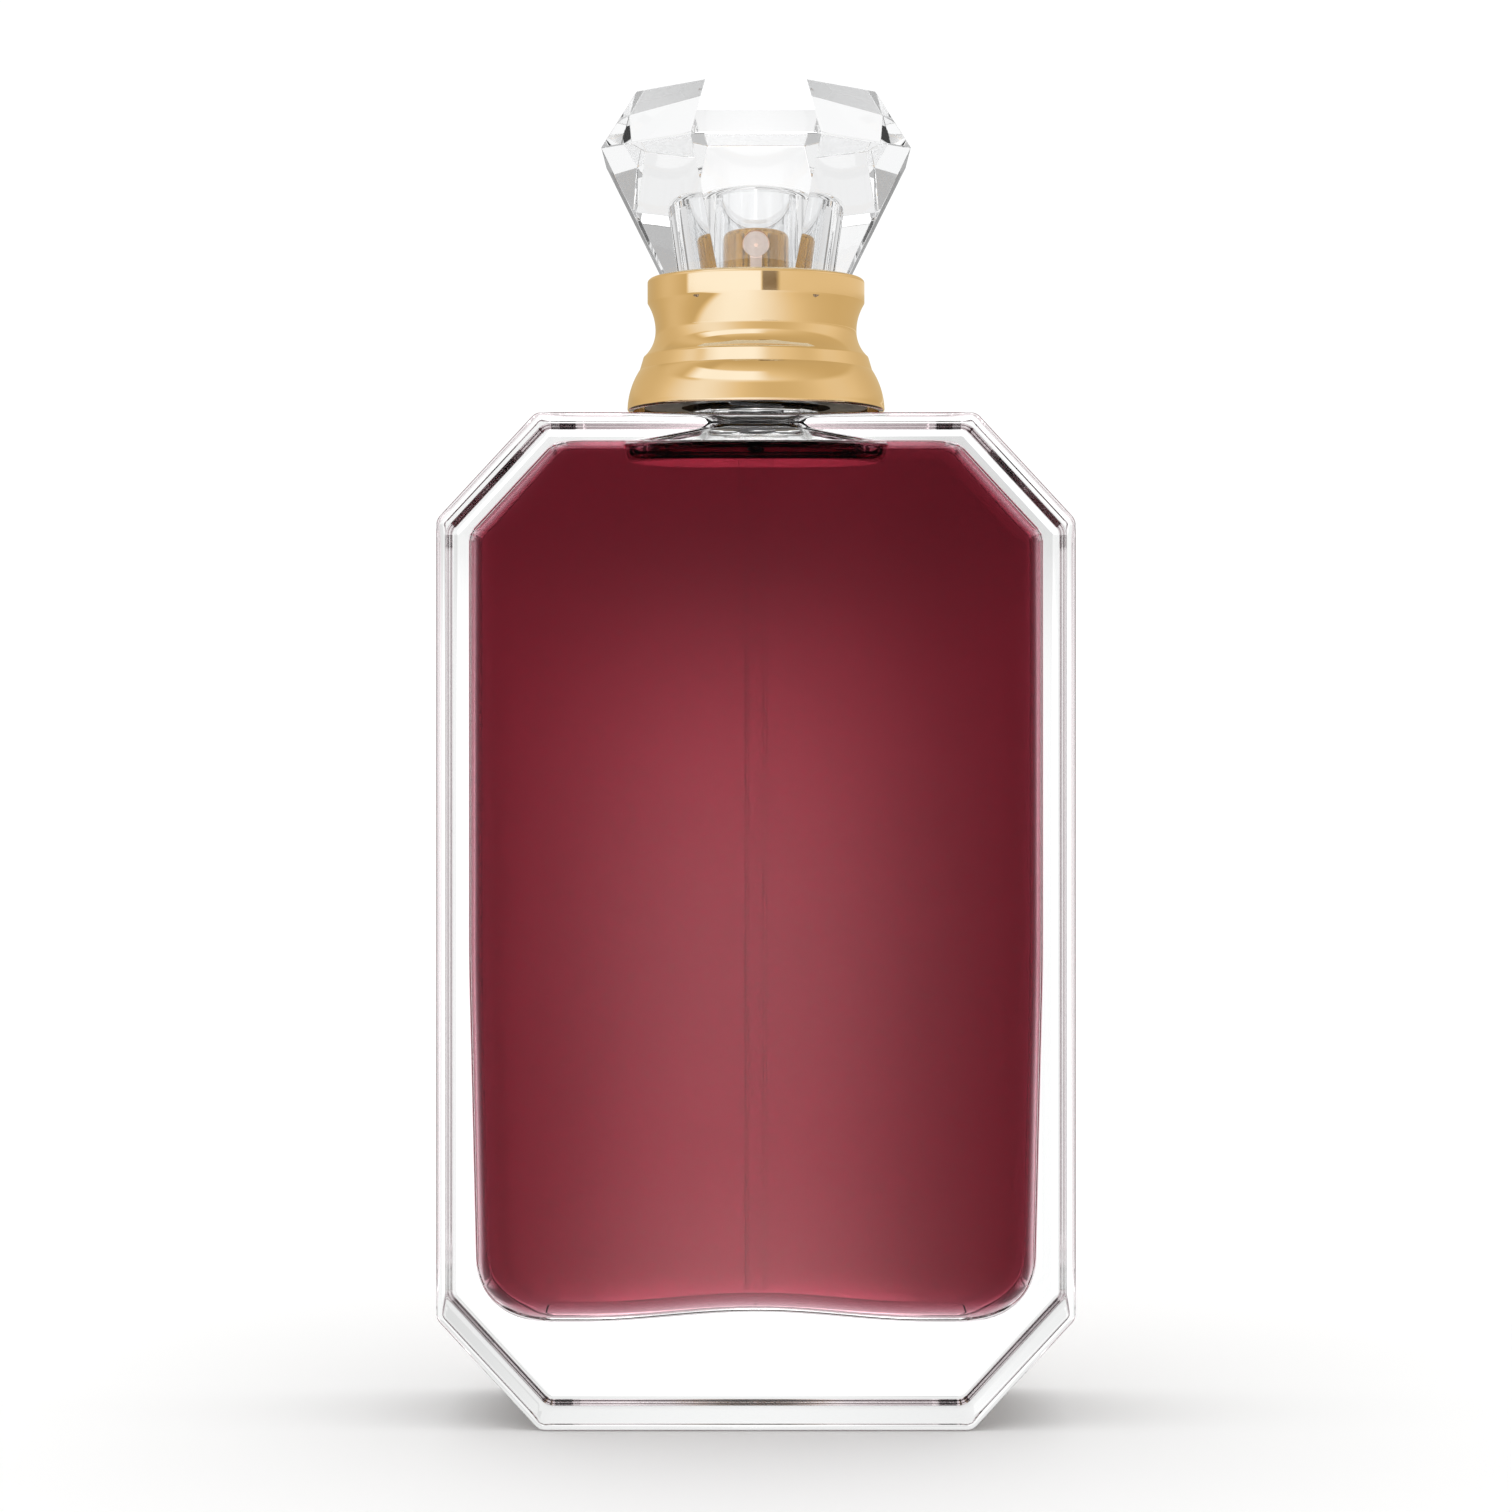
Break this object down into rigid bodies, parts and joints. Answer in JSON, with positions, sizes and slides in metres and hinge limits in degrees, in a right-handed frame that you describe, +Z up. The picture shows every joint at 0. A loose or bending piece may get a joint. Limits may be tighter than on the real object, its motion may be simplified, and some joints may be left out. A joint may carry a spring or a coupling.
{
  "type": "perfume bottle",
  "caption": "Clear eight-sided glass perfume flask filled with burgundy liquid, with a polished gold collar, a crimped spray pump and a clear gem-cut pull-off cap.",
  "frame": {"origin": "Centre of the base, on the surface the bottle stands on.", "axes": "+Z up along the bottle, +X to the right across the wide face, the spray nozzle and the front face look along -Y."},
  "size_m": [0.0662, 0.0326, 0.14],
  "materials": {
    "clear_glass": "polished",
    "liquid": "clear burgundy",
    "gold": "polished gold anodised",
    "raw_aluminium": "satin",
    "clear_plastic": "polished clear",
    "sleeve_plastic": "clear",
    "white_plastic": "moulded",
    "cream_plastic": "moulded",
    "tube_plastic": "translucent",
    "seal_rubber": "smooth",
    "spring_steel": "bright"
  },
  "bodies": {
    "bottle": {"glass_bottle": "clear_glass", "perfume": "liquid", "neck_gasket": "seal_rubber", "crimp_ferrule": "raw_aluminium", "collar_liner": "white_plastic", "collar_shell": "gold", "pump_housing": "white_plastic", "pump_turret": "white_plastic", "stem_seal": "seal_rubber", "dip_tube": "tube_plastic", "return_spring": "spring_steel"},
    "plunger": {"valve_stem": "white_plastic", "piston": "white_plastic", "spring_seat": "white_plastic"},
    "button": {"actuator_core": "cream_plastic", "actuator_shell": "gold", "spray_insert": "cream_plastic"},
    "ball": {"inlet_ball": "spring_steel"},
    "cap": {"gem_cap": "clear_plastic", "cap_insert": "sleeve_plastic"}
  },
  "joints": [
    {"name": "press", "type": "slide", "parent": "bottle", "child": "plunger", "axis": [0, 0, -1], "range_m": [0, 0.0036], "stiffness_N_per_m": 1500, "springref_m": -0.005, "deforming": ["return_spring"]},
    {"name": "button_turn", "type": "hinge", "parent": "plunger", "child": "button", "pos_m": [0, 0, 0.12], "axis": [0, 0, 1], "continuous": true},
    {"name": "ball_lift", "type": "slide", "parent": "bottle", "child": "ball", "axis": [0, 0, 1], "range_m": [0, 0.0008]},
    {"name": "cap_lift", "type": "slide", "parent": "bottle", "child": "cap", "axis": [0, 0, 1], "range_m": [0, 0.03]}
  ]
}
